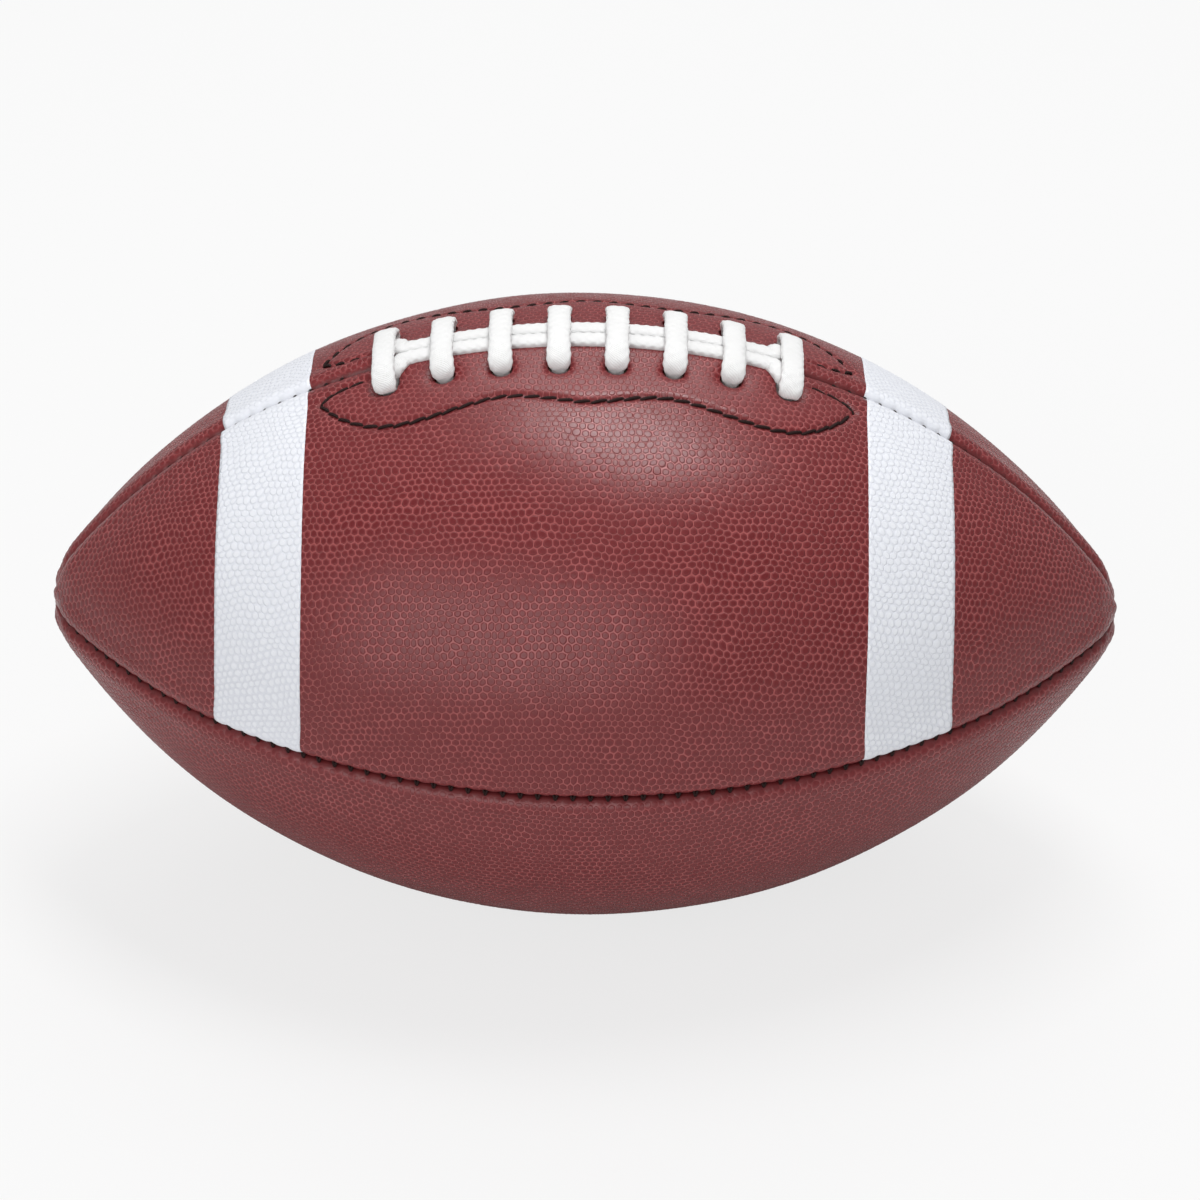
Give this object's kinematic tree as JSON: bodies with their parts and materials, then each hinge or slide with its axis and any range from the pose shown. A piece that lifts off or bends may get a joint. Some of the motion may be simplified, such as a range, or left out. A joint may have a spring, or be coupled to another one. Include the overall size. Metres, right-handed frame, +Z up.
{
  "type": "american football",
  "caption": "American football of pebbled red brown leather with white half stripes, a white lace, sewn seams, linings, bladder and valve.",
  "frame": {"origin": "On the floor under the middle of the ball, which lies on its belly with the lacing straight up.", "axes": "+X along the long axis, from the left nose to the right nose as seen from the front. +Y to the back. +Z up, through the middle of the lacing."},
  "size_m": [0.286, 0.168, 0.173],
  "materials": {
    "leather": "pebbled",
    "stripe_paint": "painted over the pebbles",
    "lace": "woven",
    "thread": "waxed",
    "lining_cloth": "plain weave",
    "facing_leather": "suede",
    "bladder_rubber": "smooth",
    "valve_rubber": "smooth"
  },
  "bodies": {
    "root": {"panel_front_upper": "leather", "panel_back_upper": "leather", "panel_front_lower": "leather", "panel_back_lower": "leather", "lining_front_upper": "lining_cloth", "lining_back_upper": "lining_cloth", "lining_front_lower": "lining_cloth", "lining_back_lower": "lining_cloth", "stripe_front_left": "stripe_paint", "stripe_front_right": "stripe_paint", "stripe_back_left": "stripe_paint", "stripe_back_right": "stripe_paint", "seam_thread_top": "thread", "seam_thread_front": "thread", "seam_thread_back": "thread", "seam_thread_bottom": "thread", "facing_front": "facing_leather", "facing_back": "facing_leather", "facing_thread_front": "thread", "facing_thread_back": "thread", "lace": "lace", "tongue": "facing_leather", "bladder": "bladder_rubber", "valve_housing": "valve_rubber", "valve_core": "valve_rubber"}
  },
  "joints": []
}
